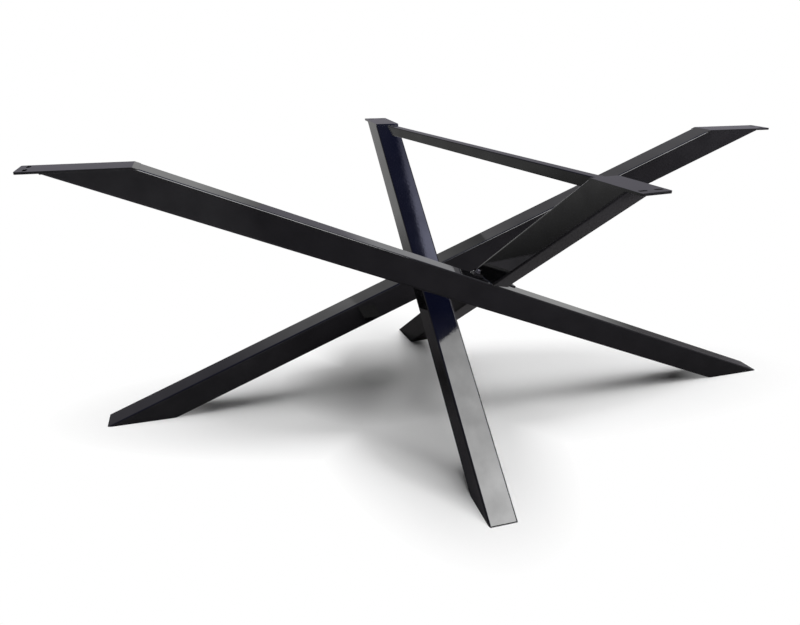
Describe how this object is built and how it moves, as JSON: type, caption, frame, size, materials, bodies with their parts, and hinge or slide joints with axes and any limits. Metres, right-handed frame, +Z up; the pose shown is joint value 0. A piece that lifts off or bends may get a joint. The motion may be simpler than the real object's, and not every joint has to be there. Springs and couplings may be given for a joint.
{
  "type": "x shaped table leg",
  "caption": "X-shaped table base of slanting square steel tubes that cross at mid height, with level screw plates at their tops, flat feet and a thin tie bar; black.",
  "frame": {"origin": "on the floor, under the middle of the outline of the base", "axes": "+X along the two long beams, +Y across them from the front to the back, +Z up"},
  "size_m": [2.019, 1.1394, 0.73],
  "materials": {
    "black_steel": "satin",
    "screw_steel": "satin"
  },
  "bodies": {
    "root": {"long_beam_left": "black_steel", "long_beam_right": "black_steel", "cross_beam_back": "black_steel", "cross_beam_front": "black_steel", "top_plate_left": "black_steel", "top_plate_right": "black_steel", "top_plate_back": "black_steel", "top_plate_front": "black_steel", "foot_plate_left": "black_steel", "foot_plate_right": "black_steel", "foot_plate_back": "black_steel", "foot_plate_front": "black_steel", "tie_bar": "black_steel", "packing_back": "black_steel", "packing_front": "black_steel", "ear_left": "black_steel", "ear_right": "black_steel", "ear_screws": "screw_steel", "ear_washers": "screw_steel", "threaded_bushes": "screw_steel"}
  },
  "joints": []
}
